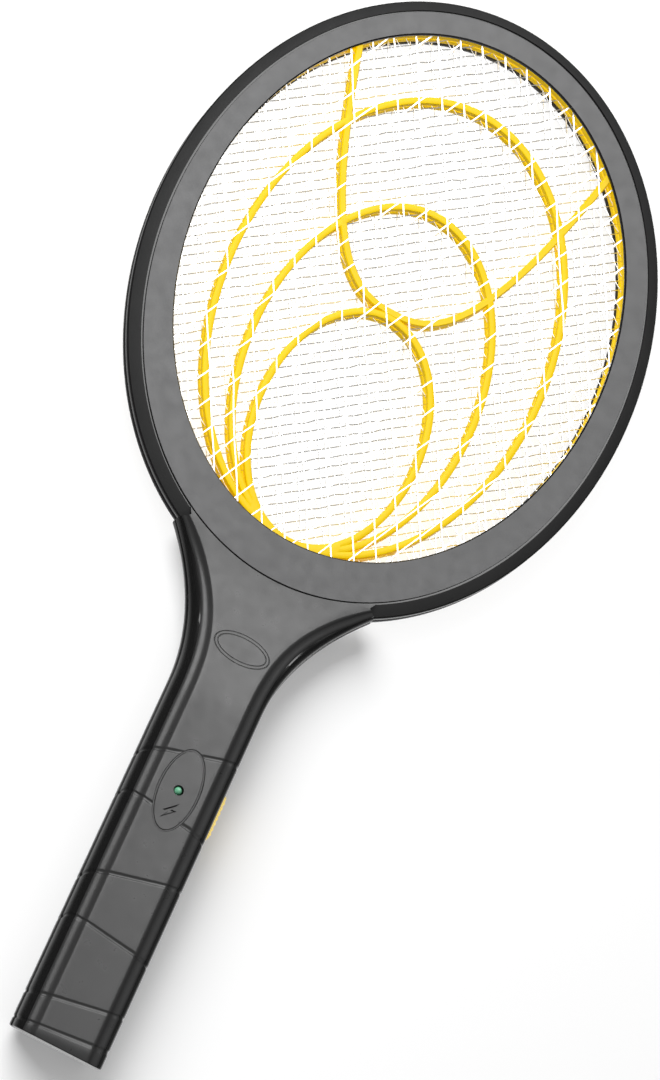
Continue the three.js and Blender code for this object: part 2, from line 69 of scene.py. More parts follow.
SPACER_RIM = 6                       # how far the spacers' rims reach beyond the opening
BAND = np.array([4.8, 4.7])          # width of the head's sloping band, across and along
BAND_DROP = 2.7                      # how far the band falls away from the bezel
MID_Z = (frame_high[2] + rear_low[2]) / 2
RING_HALF = frame_high[2] - MID_Z
HEAD_Y = (frame_low[1] + frame_high[1]) / 2
HEAD = np.array([frame_high[0], frame_high[1] - HEAD_Y])
BEZEL = HEAD - BAND
OPENING_Y = (spacer_low[1] + spacer_high[1]) / 2
OPENING = np.array([spacer_high[0], spacer_high[1] - OPENING_Y]) - SPACER_RIM
LIP = 1.5                            # thickness of the bezel at the opening
BUTT_Y = shell_low[1]
GAP = 0.3                            # clearance between casing pieces

# Handle outline, as in the CAD: a straight grip that flares into a yoke
GRIP_HALF, GRIP_DEPTH = 18.6, 13
PANEL_HALF = 11.4
YOKE_DEPTH, YOKE_FLARE, PANEL_FLARE = 7.2, 23.4, 27.1
YOKE_CURVE, PANEL_CURVE = 2, 2.8     # powers of the flare of the casing and of its panel
WAIST_Y, TIP_Y = -77, -20.6
PANEL_WAIST_Y, PANEL_TIP_Y = -85, -19.5
SHOULDER = 2.5                       # least width left beside the panel
LOFT_END_Y = -12
CAVITY_END_Y = -36
BUTT_EDGE_Y = BUTT_Y - 1.2           # the front edge of the butt end
BUTT_SLANT = 0.27                    # the end leans towards the head at the back
BUTT_LEAN = 60                       # length over which the lean fades out
BUTT_ROUND = 0.7                     # rounding of the butt end's edge
WALL = 2
LED_Y = sum(corner[1] for corner in box_mm("indicator_led")) / 2

RING_STEPS = 288
SHARP_ANGLE = 35                     # degrees above which an edge is shaded sharp


# ---- Mesh helpers ----
def link(name, mesh):
    """A new object in the scene that shows a mesh."""
    piece = bpy.data.objects.new(name, mesh)
    bpy.context.scene.collection.objects.link(piece)
    return piece


def make_piece(name, points, faces, materials=(), picks=None):
    """A mesh object from points in millimetres, with its faces turned outward."""
    mesh = bpy.data.meshes.new(name)
    mesh.from_pydata([tuple(point) for point in np.asarray(points, float) * MM], [], faces)
    for material in materials:
        mesh.materials.append(material)
    if picks is not None:
        mesh.polygons.foreach_set("material_index", picks)
    work = bmesh.new()
    work.from_mesh(mesh)
    bmesh.ops.recalc_face_normals(work, faces=work.faces)
    work.to_mesh(mesh)
    work.free()
    return link(name, mesh)


def loft(loops, closed=False):
    """Points and faces of a skin over rows of loops; an open one gets a cap at each end."""
    rows, count = loops.shape[:2]
    index = np.arange(rows * count).reshape(rows, count)
    after = np.roll(index, -1, axis=1)
    faces = []
    for row in range(rows if closed else rows - 1):
        follow = (row + 1) % rows
        edges = (index[row], after[row], after[follow], index[follow])
        faces += zip(*(edge.tolist() for edge in edges))
    if not closed:
        faces += [tuple(index[0].tolist()), tuple(index[-1].tolist())]
    return loops.reshape(-1, 3), faces


def replace_mesh(piece):
    """Bakes a piece's modifiers into its mesh."""
    graph = bpy.context.evaluated_depsgraph_get()
    mesh = bpy.data.meshes.new_from_object(piece.evaluated_get(graph), depsgraph=graph)
    piece.modifiers.clear()
    old = piece.data
    piece.data = mesh
    bpy.data.meshes.remove(old)
    mesh.name = piece.name


def combine(piece, tools, operation="DIFFERENCE"):
    """Cuts other solids out of a piece, or joins or intersects them, and deletes them."""
    for tool in tools:
        modifier = piece.modifiers.new(operation, "BOOLEAN")
        modifier.operation = operation
        modifier.solver = "MANIFOLD"
        modifier.object = tool
    replace_mesh(piece)
    for tool in tools:
        mesh = tool.data
        bpy.data.objects.remove(tool)
        bpy.data.meshes.remove(mesh)
    return piece


def finish_piece(piece, body, node):
    """Shades a piece smooth between its sharp edges and puts it in the place of its CAD node."""
    piece.data.shade_smooth()
    piece.data.set_sharp_from_angle(angle=math.radians(SHARP_ANGLE))
    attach(piece, body)
    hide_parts(node)
    return piece


def block(low, high, name="block", materials=(), bevel=0.0, segments=2):
    """A box between two corners, with its edges rounded by the bevel."""
    corners = [[(low, high)[k][0], (low, high)[j][1], (low, high)[i][2]]
               for i in (0, 1) for j in (0, 1) for k in (0, 1)]
    faces = [(0, 2, 3, 1), (4, 5, 7, 6), (0, 1, 5, 4), (2, 6, 7, 3), (0, 4, 6, 2), (1, 3, 7, 5)]
    piece = make_piece(name, corners, faces, materials)
    if bevel:
        modifier = piece.modifiers.new("bevel", "BEVEL")
        modifier.width = bevel * MM
        modifier.segments = segments
        replace_mesh(piece)
    return piece


def ellipse(axes, y, z, steps=RING_STEPS):
    """A level ellipse with its middle on the racket's centre line."""
    turn = np.linspace(0, 2 * math.pi, steps, endpoint=False)
    return np.stack([axes[0] * np.cos(turn), y + axes[1] * np.sin(turn), np.full(steps, z)], axis=1)


def prism(outline, low, high):
    """An upright solid over a closed outline of (x, y) points."""
    outline = np.asarray(outline, float)[:, :2]
    levels = [np.column_stack([outline, np.full(len(outline), z)]) for z in (low, high)]
    return make_piece("prism", *loft(np.stack(levels)))


def ring(name, corners, materials=(), steps=RING_STEPS):
    """A closed profile swept round an ellipse. A corner is (half widths, centre y, z, material
    of the face after it)."""
    loops = np.stack([ellipse(axes, y, z, steps) for axes, y, z, _ in corners], axis=1)
    picks = [corner[3] for corner in corners] * steps
    points, faces = loft(loops, closed=True)
    return make_piece(name, points, faces, materials, picks)


def lathe(name, profile, centre, axis="Z", steps=48, materials=(), picks=None):
    """A solid turned round an axis through centre. The profile is (radius, height) from one end on
    the axis to the other."""
    turn = np.linspace(0, 2 * math.pi, steps, endpoint=False)
    inner = profile[1:-1]
    loops = np.stack([np.stack([r * np.cos(turn), r * np.sin(turn), np.full(steps, h)], axis=1)
                      for r, h in inner])
    points, faces = loft(loops)
    faces = faces[:-2]
    ends = [len(points), len(points) + 1]
    points = np.vstack([points, [[0, 0, profile[0][1]], [0, 0, profile[-1][1]]]])
    last = (len(inner) - 1) * steps
    for k in range(steps):
        following = (k + 1) % steps
        faces.append((ends[0], following, k))
        faces.append((ends[1], last + k, last + following))
    if axis == "Y":
        points = points[:, [0, 2, 1]]
    face_picks = None
    if picks is not None:
        walls = [pick for pick in picks[1:-1] for _ in range(steps)]
        face_picks = walls + [picks[0], picks[-1]] * steps
    return make_piece(name, points + np.asarray(centre, float), faces, materials, face_picks)


# ---- Materials ----
def new_material(name, colour, roughness, metallic=0.0):
    """A plain material, its node tree and its surface shader."""
    material = bpy.data.materials.new(name)
    material.use_nodes = True
    surface = material.node_tree.nodes["Principled BSDF"]
    surface.inputs["Base Color"].default_value = (*colour, 1)
    surface.inputs["Roughness"].default_value = roughness
    surface.inputs["Metallic"].default_value = metallic
    return material, material.node_tree, surface


NOISE_LOW, NOISE_HIGH = 0.3, 0.7     # the range that most of a noise falls in


def noise(tree, size, detail=3.0, stretch=(1, 1, 1)):
    """Noise in the object's own coordinates, with blotches about `size` millimetres across."""
    place = tree.nodes.new("ShaderNodeTexCoord")
    scale = tree.nodes.new("ShaderNodeMapping")
    scale.inputs["Scale"].default_value = stretch
    texture = tree.nodes.new("ShaderNodeTexNoise")
    texture.inputs["Scale"].default_value = 1 / (size * MM)
    texture.inputs["Detail"].default_value = detail
    tree.links.new(place.outputs["Object"], scale.inputs["Vector"])
    tree.links.new(scale.outputs["Vector"], texture.inputs["Vector"])
    return texture.outputs["Fac"]


def vary(tree, value, low, high, socket):
    """Sends a noise to a socket, spread between two numbers."""
    spread = tree.nodes.new("ShaderNodeMapRange")
    spread.inputs["From Min"].default_value = NOISE_LOW
    spread.inputs["From Max"].default_value = NOISE_HIGH
    spread.inputs["To Min"].default_value = low
    spread.inputs["To Max"].default_value = high
    tree.links.new(value, spread.inputs["Value"])
    tree.links.new(spread.outputs["Result"], socket)


def tint(tree, value, dark, light, socket):
    """Sends a colour to a socket, between dark and light as a noise says."""
    ramp = tree.nodes.new("ShaderNodeValToRGB")
    ramp.color_ramp.elements[0].position = NOISE_LOW
    ramp.color_ramp.elements[0].color = (*dark, 1)
    ramp.color_ramp.elements[1].position = NOISE_HIGH
    ramp.color_ramp.elements[1].color = (*light, 1)
    tree.links.new(value, ramp.inputs["Fac"])
    tree.links.new(ramp.outputs["Color"], socket)


def roughen(tree, surface, height, depth):
    """Bumps a surface by a height from 0 to 1, `depth` millimetres deep."""
    bump = tree.nodes.new("ShaderNodeBump")
    bump.inputs["Strength"].default_value = 1
    bump.inputs["Distance"].default_value = depth * MM
    tree.links.new(height, bump.inputs["Height"])
    tree.links.new(bump.outputs["Normal"], surface.inputs["Normal"])


def plastic(name, colour, roughness, grain=0.35, depth=0.004, mottle=0.06, specular=0.5,
            painted_glow=(0, 0, 0)):
    """Moulded plastic: fine grain, slightly uneven gloss and colour. The glow is painted light: an
    emission that stands in for light seeping through a translucent piece."""
    material, tree, surface = new_material(name, colour, roughness)
    surface.inputs["Specular IOR Level"].default_value = specular
    # painted glow: an emission that brightens the piece though it is no lamp
    surface.inputs["Emission Color"].default_value = (*painted_glow, 1)
    surface.inputs["Emission Strength"].default_value = 1.0 if any(painted_glow) else 0.0
    blotches = noise(tree, 22)
    dark = [c * (1 - mottle) for c in colour]
    light = [min(1, c * (1 + mottle)) for c in colour]
    tint(tree, blotches, dark, light, surface.inputs["Base Color"])
    vary(tree, noise(tree, 5), roughness * 0.9, roughness * 1.12, surface.inputs["Roughness"])
    roughen(tree, surface, noise(tree, grain, detail=2), depth)
    return material


def metal(name, colour, roughness, scratch=(1, 1, 1), depth=0.003):
    """Bare or lacquered metal with fine streaks, drawn out where `scratch` is small."""
    material, tree, surface = new_material(name, colour, roughness, metallic=1.0)
    streaks = noise(tree, 1.2, stretch=scratch)
    tint(tree, streaks, [c * 0.88 for c in colour], colour, surface.inputs["Base Color"])
    vary(tree, streaks, roughness * 0.75, roughness * 1.3, surface.inputs["Roughness"])
    roughen(tree, surface, noise(tree, 0.5, stretch=scratch), depth)
    return material


def lens_material():
    """Clouded green epoxy under a clear coat."""
    material, tree, surface = new_material("led_lens", (0.16, 0.62, 0.33), 0.08)
    surface.inputs["Transmission Weight"].default_value = 0.35
    surface.inputs["Coat Weight"].default_value = 0.6
    tint(tree, noise(tree, 1.6), (0.10, 0.50, 0.26), (0.34, 0.80, 0.52), surface.inputs["Base Color"])
    return material


def board_material():
    """Green solder mask with darker copper tracks showing through it."""
    material, tree, surface = new_material("board", (0.02, 0.16, 0.06), 0.35)
    place = tree.nodes.new("ShaderNodeTexCoord")
    bricks = tree.nodes.new("ShaderNodeTexBrick")
    bricks.inputs["Scale"].default_value = 1 / (9 * MM)
    bricks.inputs["Mortar Size"].default_value = 0.09
    bricks.inputs["Color1"].default_value = (0.015, 0.13, 0.05, 1)
    bricks.inputs["Color2"].default_value = (0.02, 0.17, 0.065, 1)
    bricks.inputs["Mortar"].default_value = (0.05, 0.28, 0.1, 1)
    tree.links.new(place.outputs["Object"], bricks.inputs["Vector"])
    tree.links.new(bricks.outputs["Color"], surface.inputs["Base Color"])
    roughen(tree, surface, bricks.outputs["Fac"], 0.035)
    return material


def winding_material():
    """Enamelled wire, wound in fine turns along Y."""
    material, tree, surface = new_material("winding", (0.55, 0.2, 0.06), 0.3, metallic=0.8)
    place = tree.nodes.new("ShaderNodeTexCoord")
    turns = tree.nodes.new("ShaderNodeTexWave")
    turns.bands_direction = "Y"
    turns.inputs["Scale"].default_value = 1 / (1.2 * MM)
    turns.inputs["Distortion"].default_value = 0.6
    tree.links.new(place.outputs["Object"], turns.inputs["Vector"])
    tint(tree, turns.outputs["Fac"], (0.3, 0.09, 0.03), (0.7, 0.28, 0.09), surface.inputs["Base Color"])
    roughen(tree, surface, turns.outputs["Fac"], 0.12)
    return material


BEZEL_GREY = plastic("satin_bezel", (0.045, 0.045, 0.046), 0.36, depth=0.003)
BAND_GREY = plastic("spark_band", (0.02, 0.02, 0.02), 0.5, grain=0.5, depth=0.05)
WALL_BLACK = plastic("gloss_wall", (0.010, 0.010, 0.010), 0.16, depth=0.002)
PANEL_GREY = plastic("satin_panel", (0.02, 0.02, 0.02), 0.3, depth=0.003)
SIDE_BLACK = plastic("gloss_side", (0.008, 0.008, 0.008), 0.2, depth=0.002)
# The yellow's glow is painted light: an amber emission that brightens the ribs in shade, standing in for
# light seeping through the plastic.
YELLOW = plastic("yellow_plastic", (0.68, 0.48, 0.0), 0.34, mottle=0.03, specular=0.15,
                 painted_glow=(0.16, 0.09, 0))
# The button's glow is painted light: a strong emission that lifts the cap to a pale, lit-looking yellow.
BUTTON_YELLOW = plastic("button_yellow", (0.9, 0.7, 0.22), 0.4, mottle=0.03, specular=0.3,
                        painted_glow=(0.5, 0.36, 0.1))
SOFT_BLACK = plastic("black_plastic", (0.015, 0.015, 0.016), 0.45)
GRID_METAL = metal("bright_wire", (0.95, 0.95, 0.94), 0.36, scratch=(1, 0.2, 1))
STEEL = metal("zinc_steel", (0.62, 0.63, 0.65), 0.3)
NICKEL = metal("nickel_steel", (0.7, 0.69, 0.66), 0.24)
SLOT_MATERIALS = {
    "frame_plastic": BEZEL_GREY,
    "handle_plastic": SIDE_BLACK,
    "spacer_plastic": YELLOW,
    "grid_metal": GRID_METAL,
    "tinned_copper": metal("tinned_copper", (0.78, 0.74, 0.66), 0.28),
    "screw_steel": STEEL,
    "black_plastic": SOFT_BLACK,
    "led_lens": lens_material(),
    "board": board_material(),
    "ferrite": plastic("ferrite", (0.035, 0.035, 0.038), 0.6, grain=0.6, depth=0.03),
    "winding": winding_material(),
    "capacitor_coat": plastic("dipped_resin", (0.3, 0.06, 0.03), 0.22, grain=3, depth=0.08),
    "cell_jacket": metal("cell_jacket", (0.10, 0.17, 0.34), 0.3),
    "contact_steel": NICKEL,
    "red_insulation": plastic("red_insulation", (0.45, 0.02, 0.02), 0.4),
    "black_insulation": plastic("black_insulation", (0.02, 0.02, 0.02), 0.4),
}


# ---- Head ----
def frame_half(name, side):
    """One half of the hollow ring: satin bezel, thin groove, grained band and glossy wall."""
    satin, grained, gloss = 0, 1, 2
    corners = [
        (OPENING, OPENING_Y, RING_HALF - LIP, gloss),
        (OPENING, OPENING_Y, RING_HALF - 0.5, gloss),
        (OPENING + 0.55, OPENING_Y, RING_HALF, satin),
        (BEZEL - 0.95, HEAD_Y, RING_HALF, satin),
        (BEZEL - 0.85, HEAD_Y, RING_HALF - 0.15, gloss),
        (BEZEL - 0.8, HEAD_Y, RING_HALF - 0.9, gloss),
        (BEZEL - 0.1, HEAD_Y, RING_HALF - 0.9, gloss),
        (BEZEL, HEAD_Y, RING_HALF - 0.15, grained),
        (HEAD - 0.5, HEAD_Y, RING_HALF - BAND_DROP + 0.25, gloss),
        (HEAD - 0.12, HEAD_Y, RING_HALF - BAND_DROP - 0.1, gloss),
        (HEAD, HEAD_Y, RING_HALF - BAND_DROP - 0.5, gloss),
        (HEAD, HEAD_Y, 0.55, gloss),
        (HEAD - 0.3, HEAD_Y, 0.12, gloss),
        (HEAD - WALL, HEAD_Y, 0.12, gloss),
        (HEAD - WALL, HEAD_Y, RING_HALF - BAND_DROP - 0.7, gloss),
        (BEZEL - 1, HEAD_Y, RING_HALF - LIP, gloss),
    ]
    placed = [(axes, y, MID_Z + side * height, pick) for axes, y, height, pick in corners]
    piece = ring(name, placed, (BEZEL_GREY, BAND_GREY, WALL_BLACK))
    return combine(piece, [wire_notch()])


def wire_notch():
    """Where the high-voltage wires pass from the yoke into the head."""
    half_width, half_height = 6, 2.6
    return block((-half_width, CAVITY_END_Y - 2, MID_Z - half_height),
                 (half_width, HEAD_Y - HEAD[1] + 2 * WALL, MID_Z + half_height))


RIB = 2.7                            # width of the yellow ribs
RIB_LOOPS = [(34.5, 51.5), (48, 75), (67.5, 98.5)]  # half widths of the nested loops
LOOP_FOOT = -107.5                   # lowest point of the loops, from the head's centre
# The U rib: its lowest point from the head's centre, how fast and with what power of x it rises
# from there, and its half width
ARCH_FOOT, ARCH_RISE, ARCH_POWER, ARCH_HALF = -3.5, 0.00413, 2.5, 56
ROUND = 0.35                         # rounding of the ribs' edges


def rib_corners(outer, inner, y, low, high):
    """The section of a rib between two ellipses, with rounded edges."""
    bend = 0.3 * ROUND
    return [
        (outer, y, low + ROUND, 0), (outer, y, high - ROUND, 0),
        (outer - bend, y, high - bend, 0), (outer - ROUND, y, high, 0),
        (inner + ROUND, y, high, 0), (inner + bend, y, high - bend, 0),
        (inner, y, high - ROUND, 0), (inner, y, low + ROUND, 0),
        (inner + ROUND, y, low, 0), (outer - ROUND, y, low, 0),
    ]


def arch_rib(low, high):
    """The U rib that crosses the loops, with its ends in the rim."""
    x = np.linspace(-ARCH_HALF, ARCH_HALF, 97)
    y = HEAD_Y + ARCH_FOOT + ARCH_RISE * np.abs(x) ** ARCH_POWER
    slope = ARCH_POWER * ARCH_RISE * np.sign(x) * np.abs(x) ** (ARCH_POWER - 1)
    normal = np.stack([-slope, np.ones_like(x)], axis=1) / np.hypot(slope, 1)[:, None]
    half = RIB / 2
    section = [(half, low + ROUND), (half, high - ROUND), (half - ROUND, high),
               (ROUND - half, high), (-half, high - ROUND), (-half, low + ROUND),
               (ROUND - half, low), (half - ROUND, low)]
    loops = np.stack([
        np.column_stack([x + normal[:, 0] * out, y + normal[:, 1] * out, np.full(len(x), z)])
        for out, z in section], axis=1)
    return make_piece("arch", *loft(loops))


def spacer(name, node):
    """Yellow insulator between two grids: a rim, three nested loops and a U rib."""
    low, high = (corner[2] for corner in box_mm(node))
    rim = rib_corners(OPENING + SPACER_RIM, OPENING + 0.3, OPENING_Y, low, high)
    piece = ring(name, rim, (YELLOW,))
    parts = [arch_rib(low, high)]
    for across, along in RIB_LOOPS:
        outer = np.array([across, along])
        corners = rib_corners(outer, outer - RIB, HEAD_Y + LOOP_FOOT + along, low, high)
        parts.append(ring("loop", corners, steps=192))
    return combine(piece, parts, "UNION")


KNOT_RISE = 0.4                      # how much less the knots stray upright than sideways


def net(cell, strand, low, high, twist, wobble, seed):
    """Points and faces of a sheet of stretched diamonds, wider than the head. Cell is the
    diamond's (x, y) size. Twist lifts each diamond's left and top corners and lowers the other
    two by its two numbers, and wobble shifts the knots at random."""
    width, length = cell
    slant = math.hypot(width, length)
    half = (width / 2 - strand / 2 * slant / length, length / 2 - strand / 2 * slant / width)
    steps = ((1, 0), (0, 1), (-1, 0), (0, -1))
    count = math.ceil((OPENING[1] + 25) * (1 / width + 1 / length)) + 1
    shift = np.random.default_rng(seed).normal(size=(4 * count + 6, 4 * count + 6, 3)) * wobble
    index, points = {}, []

    def corner(i, j, way):
        """Corner of the diamond (i, j): way 0 right, 1 top, 2 left, 3 bottom."""
        if (i, j, way) not in index:
            across, along = steps[way]
            x = (i + j) * width / 2 + across * half[0]
            y = HEAD_Y + (i - j) * length / 2 + along * half[1]
            knot = shift[2 * i + across + along + 2 * count + 2, 2 * j + across - along + 2 * count + 2]
            lift = twist[1] * along - twist[0] * across
            index[i, j, way] = len(points)
            points.append((x + knot[0], y + knot[1], knot[2] * KNOT_RISE + lift))
        return index[i, j, way]

    faces = []
    for i in range(-count, count + 1):
        for j in range(-count, count + 1):
            centre = np.array([(i + j) * width / 2, (i - j) * length / 2])
            if np.hypot(*(centre / (OPENING + 8))) > 1:
                continue
            start = corner(i, j, 0)
            faces.append((start, corner(i + 1, j, 3), corner(i + 1, j, 2), corner(i, j, 1)))
            faces.append((start, corner(i, j, 3), corner(i, j + 1, 2), corner(i, j + 1, 1)))
            faces.append((start, corner(i, j + 1, 1), corner(i + 1, j + 1, 2), corner(i + 1, j, 3)))
    return thicken(np.array(points), faces, low, high)


def thicken(points, faces, low, high):
    """A closed sheet from a flat net: the faces twice, and walls along every free edge."""
    count = len(points)
    top = points + (0, 0, high)
    bottom = points + (0, 0, low)
    free = {}
    for face in faces:
        for k, start in enumerate(face):
            end = face[(k + 1) % len(face)]
            key = (min(start, end), max(start, end))
            free[key] = None if key in free else (start, end)
    walls = [(a, b, b + count, a + count) for a, b in filter(None, free.values())]
    under = [tuple(k + count for k in reversed(face)) for face in faces]
    return np.vstack([top, bottom]), faces + under + walls


def grid(name, node, cell, strand, thickness, twist, wobble, seed):
    """An expanded-metal sheet, clamped between the frame and the ribs."""
    middle = sum(corner[2] for corner in box_mm(node)) / 2
    low, high = middle - thickness / 2, middle + thickness / 2
    points, faces = net(cell, strand, low, high, twist, wobble, seed)
    piece = make_piece(name, points, faces, (GRID_METAL,))
    border = prism(ellipse(OPENING + 4, OPENING_Y, 0), MID_Z - RING_HALF, MID_Z + RING_HALF)
    combine(piece, [border], "INTERSECT")
    finish_piece(piece, "racket", node)
    piece.visible_shadow = False


# ---- Handle ----
def ramp(y, start, end):
    """How far y is from start to end, as a share, and on past the end up to twice that."""
    return np.clip((y - start) / (end - start), 0, 2)


def ease(value, low, high):
    """0 below low, 1 above high and a smooth curve between them."""
    t = np.clip((value - low) / (high - low), 0, 1)
    return t * t * (3 - 2 * t)


def handle_sizes(y):
    """Half width of the casing and of its front panel, and half thickness, at y."""
    half = GRIP_HALF + YOKE_FLARE * ramp(y, WAIST_Y, TIP_Y) ** YOKE_CURVE
    panel = PANEL_HALF + PANEL_FLARE * ramp(y, PANEL_WAIST_Y, PANEL_TIP_Y) ** PANEL_CURVE
    panel = np.minimum(panel, half - SHOULDER)
    depth = GRIP_DEPTH - (GRIP_DEPTH - YOKE_DEPTH) * ease(y, PANEL_WAIST_Y, HEAD_Y - HEAD[1] + 4)
    return half, panel, depth


STRIP = 3.8                          # width of the shoulder strip outside the panel
STRIP_SHARE = 0.62                   # most of the room beside the panel that the strip may take
# The side of each shell, from the parting line up, as (share of the width outside the strip, share
# of the depth). The rear shell stands out a little beyond the front one.
FRONT_SIDE = [(0.78, 0.014), (0.85, 0.03), (0.88, 0.07), (0.88, 0.15), (0.87, 0.26), (0.84, 0.38),
              (0.79, 0.49), (0.7, 0.59), (0.57, 0.68), (0.4, 0.76), (0.2, 0.815)]
REAR_SIDE = [(0.97, 0.005), (0.99, 0.02), (1, 0.05), (0.995, 0.15), (0.97, 0.26), (0.92, 0.38),
             (0.85, 0.49), (0.74, 0.59), (0.59, 0.68), (0.41, 0.76), (0.2, 0.815)]
# The shoulder strip and the step up to the panel, as (distance outside the step, drop from the top)
CREASE = [(STRIP + 0.2, 1.82), (STRIP, 1.66), (STRIP - 0.4, 1.51), (3.2, 1.43), (2.6, 1.33), (2.0, 1.22),
          (1.6, 1.13), (1.2, 1.01), (0.8, 0.85), (0.4, 0.64), (0.0, 0.4), (-0.5, 0.14), (-0.9, 0.03),
          (-1.3, 0.0)]
PANEL_POINTS = 8
PANEL_DISH = 0.12                    # how far the panel's middle lies below its edges


def half_section(y, side):
    """The outline over the front (+1) or rear (-1) shell at each y, from the right parting line to
    the left one: arrays of x and height, one row for each y."""
    flank = FRONT_SIDE if side > 0 else REAR_SIDE
    half, panel, depth = (np.atleast_1d(size)[:, None] for size in handle_sizes(y))
    strip = np.minimum(1, STRIP_SHARE * (half - panel) / STRIP)
    edge = panel + strip * STRIP
    side_x = np.hstack([edge + (half - edge) * share for share, _ in flank])
    side_z = np.hstack([depth * share for _, share in flank])
    crease_x = np.hstack([panel + out * strip for out, _ in CREASE])
    crease_z = np.hstack([depth - drop * strip for _, drop in CREASE])
    flat = np.linspace(1, 0, PANEL_POINTS + 1)[None, 1:]
    flat_x = crease_x[:, -1:] * flat
    flat_z = depth - PANEL_DISH * (1 - flat ** 2)
    x = np.hstack([side_x, crease_x, flat_x])
    z = np.hstack([side_z, crease_z, flat_z])
    return np.hstack([x, -x[:, -2::-1]]), np.hstack([z, z[:, -2::-1]])


# Grooves moulded round the grip: y where each crosses the middle, and its slope in the panel
GROOVES = [(-223.6, 0.1), (-210.7, 0.19), (-182.7, -0.14), (-157.7, 0.27), (-130, -0.164),
           (-104.5, 0.307)]
GROOVE_DEPTH = 0.28
GROOVE_FLOOR, GROOVE_HALF = 0.2, 1.05  # half widths of the groove's floor and of the whole groove
GROOVE_SECTION = (-1.3, -1.05, -0.85, -0.65, -0.4, 0, 0.4, 0.65, 0.85, 1.05, 1.3)
OVAL = (8.2, 17.2)                   # half widths of the oval that the grooves stop at
OVAL_FADE = (0.98, 1.04)             # where a groove starts and is at full depth, as shares of it
LED_LINE = (7.8, 16.7)               # half widths of the oval line round the indicator
YOKE_LINES = ((11.4, 6.1), (10.1, 4.8))  # the same for the two lines round the yoke's blank oval
YOKE_OVAL_Y = -58                    # middle of that oval
GRIP_STEP, YOKE_STEP = 3, 1.5        # spacing of the rows between the grooves
LEAST_STEP = 1.4                     # least spacing of such a row from a finer one


def stations():
    """Places along the handle: fine across each groove, even between them."""
    places = [BUTT_EDGE_Y, *(BUTT_EDGE_Y + BUTT_ROUND * share for share in (0.15, 0.45, 1))]
    for y, _ in GROOVES:
        places += [y + step for step in GROOVE_SECTION]
    loose = [*np.arange(BUTT_Y + 4, PANEL_WAIST_Y, GRIP_STEP),
             *np.arange(PANEL_WAIST_Y, LOFT_END_Y + 0.1, YOKE_STEP)]
    fine = np.array(places)
    places += [y for y in loose if np.min(np.abs(fine - y)) > LEAST_STEP]
    return np.array(sorted(places))


def groove_depth(offset):
    """Depth of a groove `offset` millimetres from its middle: a narrow floor and sloping walls."""
    return GROOVE_DEPTH * (1 - ease(np.abs(offset), GROOVE_FLOOR, GROOVE_HALF))


def slanted(y, z):
    """Leans the butt end, less and less towards the head."""
    return y + BUTT_SLANT * (MID_Z + GRIP_DEPTH - z) * (1 - ease(y, BUTT_EDGE_Y, BUTT_EDGE_Y + BUTT_LEAN))


def outer_loops(side):
    """The rows of the handle's outer skin for the front (+1) or rear (-1) shell."""
    along = stations()
    groove_y, groove_slope = zip(*GROOVES)
    slope = np.interp(along, [BUTT_Y, *groove_y, PANEL_WAIST_Y], [0, *groove_slope, 0])
    x, height = half_section(along, side)
    y = along[:, None] + slope[:, None] * x
    normal_x = -np.gradient(height, axis=1)
    normal_z = np.gradient(x, axis=1)
    length = np.hypot(normal_x, normal_z)
    normal_x, normal_z = -normal_x / length, -normal_z / length
    near = np.min(np.abs(along[:, None] - np.array(groove_y)), axis=1)[:, None]
    shown = np.ones_like(x)
    if side > 0:
        shown = ease(np.hypot(x / OVAL[0], (y - LED_Y) / OVAL[1]), *OVAL_FADE)
    inset = groove_depth(near) * shown
    from_end = np.clip((along - BUTT_EDGE_Y) / BUTT_ROUND, 0, 1)[:, None]
    inset = inset + BUTT_ROUND * (1 - np.sqrt(1 - (1 - from_end) ** 2))
    x = x - normal_x * inset
    z = MID_Z + side * (height - normal_z * inset)
    return np.stack([x, slanted(y, z), z], axis=2)


def cavity(side):
    """The hollow inside a shell, which reaches a little past the parting plane."""
    along = np.concatenate([[BUTT_EDGE_Y + WALL], np.linspace(-200, PANEL_WAIST_Y, 8),
                            np.linspace(PANEL_WAIST_Y + 4, CAVITY_END_Y, 12)])
    half, panel, depth = (size[:, None] for size in handle_sizes(along))
    inner = np.hstack([half - WALL, half - WALL - 0.3, half - 0.3 * (half - panel) - WALL, panel])
    height = np.hstack([np.full_like(half, -2.0), 0.35 * depth, 0.8 * depth - WALL, depth - WALL - 0.3])
    x = np.hstack([inner, -inner[:, ::-1]])
    z = MID_Z + side * np.hstack([height, height[:, ::-1]])
    y = slanted(np.repeat(along[:, None], x.shape[1], axis=1), z)
    return make_piece("cavity", *loft(np.stack([x, y, z], axis=2)))


def head_envelope():
    """The head's outside with a little clearance, to fit the yoke round it."""
    far = 30
    seam = BEZEL - GAP
    layers = [(seam, -far), (seam, -RING_HALF), (HEAD, BAND_DROP - RING_HALF),
              (HEAD, RING_HALF - BAND_DROP), (seam, RING_HALF), (seam, far)]
    loops = [ellipse(axes + 1.5 * GAP, HEAD_Y, MID_Z + height) for axes, height in layers]
    return make_piece("envelope", *loft(np.stack(loops)))


def tip_trim(side):
    """Trims the yoke's tips square to the head's outline."""
    size, turn, (x, y) = 30, math.radians(-30), (38.3, -18.1)
    square = np.array([[0, 0], [size, 0], [size, size], [0, size]], float)
    rotate = np.array([[math.cos(turn), math.sin(turn)], [-math.sin(turn), math.cos(turn)]])
    outline = (square @ rotate + (x, y)) * (side, 1)
    return prism(outline, MID_Z - size, MID_Z + size)


BUTTON_FLANGE = 2                    # how far the button's flange reaches past its cap


def button_slot():
    """Opening in the grip's side for the button's cap."""
    low, high = box_mm("power_button")
    y0, y1 = low[1] + BUTTON_FLANGE - GAP, high[1] - BUTTON_FLANGE + GAP
    return block((GRIP_HALF - 3.5, y0, low[2] - GAP), (GRIP_HALF + 3, y1, high[2] + GAP), bevel=0.6)


def panel_top(y):
    """Height of the front panel at y."""
    return MID_Z + handle_sizes(np.atleast_1d(float(y)))[2][0] - PANEL_DISH


